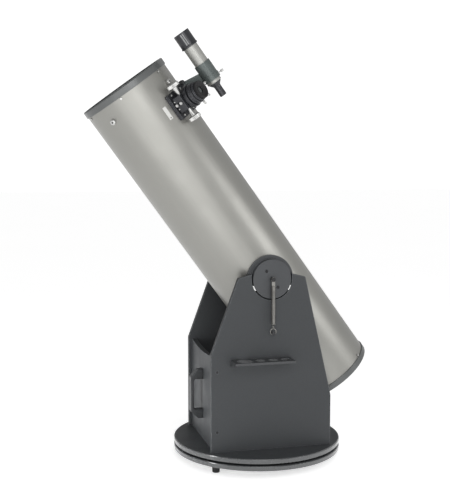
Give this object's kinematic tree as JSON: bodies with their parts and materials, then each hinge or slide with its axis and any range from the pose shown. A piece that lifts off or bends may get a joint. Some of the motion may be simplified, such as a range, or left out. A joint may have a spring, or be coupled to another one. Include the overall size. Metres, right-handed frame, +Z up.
{
  "type": "dobsonian telescope",
  "caption": "Newtonian reflector telescope on a rocker box and turntable, with focuser, finder, tension springs and an eyepiece rack.",
  "frame": {"origin": "on the floor under the turntable's axis", "axes": "+Z up, the altitude axis runs along Y, the tube points towards -X and up"},
  "size_m": [0.9551, 0.566, 1.4198],
  "materials": {
    "laminate": "satin melamine laminate",
    "edging": "moulded edge strip",
    "foot_plastic": "moulded",
    "steel_screw": "zinc plated",
    "race_steel": "rolled",
    "nylon": "moulded",
    "black_plastic": "moulded",
    "rack_paint": "powder coat",
    "ptfe": "smooth",
    "spring_steel": "drawn wire",
    "tube_paint": "metallic silver lacquer",
    "ring_paint": "satin lacquer",
    "bearing_paint": "satin lacquer",
    "dark_screw": "black oxide",
    "cell_alloy": "dark cast alloy",
    "mirror_glass": "aluminised glass",
    "black_paint": "matt black",
    "silver_knob": "bright turned and knurled",
    "focuser_black": "satin black anodised",
    "plate_white": "satin",
    "eyepiece_rubber": "moulded",
    "finder_silver": "metallic silver lacquer",
    "bracket_grey": "satin lacquer",
    "lens_glass": "coated"
  },
  "bodies": {
    "ground": {"ground_board": "laminate", "ground_edging": "edging", "feet": "foot_plastic", "foot_screws": "steel_screw", "azimuth_bolt": "steel_screw", "lower_race": "race_steel"},
    "roller_cage": {"bearing_cage": "nylon", "bearing_rollers": "race_steel"},
    "rocker": {"rocker_board": "laminate", "rocker_edging": "edging", "upper_race": "race_steel", "azimuth_bush": "nylon", "left_side_board": "laminate", "right_side_board": "laminate", "front_panel": "laminate", "carry_handle": "black_plastic", "rocker_screws": "dark_screw", "eyepiece_rack": "rack_paint", "altitude_pads": "ptfe", "tension_springs": "spring_steel"},
    "azimuth_knob": {"azimuth_knob": "black_plastic"},
    "tube": {"main_tube": "tube_paint", "front_ring": "ring_paint", "rear_ring": "ring_paint", "tube_screws": "steel_screw", "altitude_bearings": "bearing_paint", "altitude_bolts": "dark_screw", "mirror_cell": "cell_alloy", "mirror_carrier": "cell_alloy", "primary_mirror": "mirror_glass", "mirror_clips": "black_plastic", "collimation_springs": "spring_steel", "cell_lock_screws": "silver_knob", "spider_vanes": "black_paint", "spider_knobs": "silver_knob", "secondary_holder": "black_paint", "secondary_mirror": "mirror_glass", "secondary_screws": "dark_screw", "focuser_base": "focuser_black", "shaft_block": "focuser_black", "blank_plate": "plate_white", "finder_shoe": "black_plastic"},
    "collimation_knob_1": {"collimation_knob_1": "silver_knob"},
    "collimation_knob_2": {"collimation_knob_2": "silver_knob"},
    "collimation_knob_3": {"collimation_knob_3": "silver_knob"},
    "focus_shaft": {"focus_shaft": "steel_screw", "focus_knobs": "silver_knob"},
    "drawtube": {"drawtube": "focuser_black", "drawtube_collar": "focuser_black"},
    "focus_lock_screw": {"focus_lock_screw": "silver_knob"},
    "collar_screw": {"collar_screw": "silver_knob"},
    "adapter": {"eyepiece_adapter": "focuser_black"},
    "adapter_screw": {"adapter_screw": "silver_knob"},
    "eyepiece": {"eyepiece": "eyepiece_rubber"},
    "finder_bracket": {"finder_bracket": "bracket_grey", "finder_screws": "silver_knob"},
    "finder_scope": {"finder_tube": "finder_silver", "finder_shade": "focuser_black", "finder_lens": "lens_glass", "finder_eyepiece": "focuser_black"}
  },
  "joints": [
    {"name": "azimuth_turn", "type": "hinge", "parent": "ground", "child": "rocker", "pos_m": [0, 0, 0.0475], "axis": [0, 0, 1], "continuous": true},
    {"name": "roller_cage_turn", "type": "hinge", "parent": "ground", "child": "roller_cage", "pos_m": [0, 0, 0.0475], "axis": [0, 0, 1], "continuous": true},
    {"name": "azimuth_knob_turn", "type": "hinge", "parent": "ground", "child": "azimuth_knob", "pos_m": [0, 0, 0.08], "axis": [0, 0, 1], "range_deg": [-180, 180]},
    {"name": "altitude_tilt", "type": "hinge", "parent": "rocker", "child": "tube", "pos_m": [0, 0, 0.625], "axis": [0, 1, 0], "range_deg": [-53.9, 36.1]},
    {"name": "collimation_1_turn", "type": "hinge", "parent": "tube", "child": "collimation_knob_1", "pos_m": [0.33202, -0.052, 0.32255], "axis": [-0.5892, 0, 0.808], "range_deg": [-360, 360]},
    {"name": "collimation_2_turn", "type": "hinge", "parent": "tube", "child": "collimation_knob_2", "pos_m": [0.18647, -0.052, 0.21642], "axis": [-0.5892, 0, 0.808], "range_deg": [-360, 360]},
    {"name": "collimation_3_turn", "type": "hinge", "parent": "tube", "child": "collimation_knob_3", "pos_m": [0.25925, 0.104, 0.26948], "axis": [-0.5892, 0, 0.808], "range_deg": [-360, 360]},
    {"name": "focus_knob_turn", "type": "hinge", "parent": "tube", "child": "focus_shaft", "pos_m": [-0.28029, -0.14724, 1.18671], "axis": [0.5892, 0, -0.808], "range_deg": [-45, 570]},
    {"name": "drawtube_slide", "type": "slide", "parent": "tube", "child": "drawtube", "axis": [0.5713, -0.7071, 0.4166], "range_m": [-0.0023, 0.0298]},
    {"name": "focus_lock_turn", "type": "hinge", "parent": "tube", "child": "focus_lock_screw", "pos_m": [-0.29876, -0.14814, 1.17572], "axis": [-0.5713, -0.7071, -0.4166], "range_deg": [-180, 180]},
    {"name": "collar_screw_turn", "type": "hinge", "parent": "drawtube", "child": "collar_screw", "pos_m": [-0.24416, -0.1492, 1.21305], "axis": [0.7431, 0.2302, -0.6283], "range_deg": [-180, 180]},
    {"name": "adapter_lift", "type": "slide", "parent": "drawtube", "child": "adapter", "axis": [0.5713, -0.7071, 0.4166], "range_m": [0, 0.04]},
    {"name": "adapter_screw_turn", "type": "hinge", "parent": "adapter", "child": "adapter_screw", "pos_m": [-0.23673, -0.15839, 1.21847], "axis": [0.813, 0.5572, -0.1691], "range_deg": [-180, 180]},
    {"name": "eyepiece_lift", "type": "slide", "parent": "adapter", "child": "eyepiece", "axis": [0.5713, -0.7071, 0.4166], "range_m": [0, 0.035]},
    {"name": "finder_slide", "type": "slide", "parent": "tube", "child": "finder_bracket", "axis": [-0.5892, 0, 0.808], "range_m": [0, 0.07]},
    {"name": "finder_tilt", "type": "hinge", "parent": "finder_bracket", "child": "finder_scope", "pos_m": [-0.20495, -0.0855, 1.30477], "axis": [-0.2763, -0.9397, -0.2015], "range_deg": [-0.5, 0.5]}
  ],
  "couplings": [
    {"joint": "roller_cage_turn", "follows": "azimuth_turn", "ratio": 0.5},
    {"joint": "focus_knob_turn", "follows": "drawtube_slide", "rad_per_m": 333.33}
  ]
}
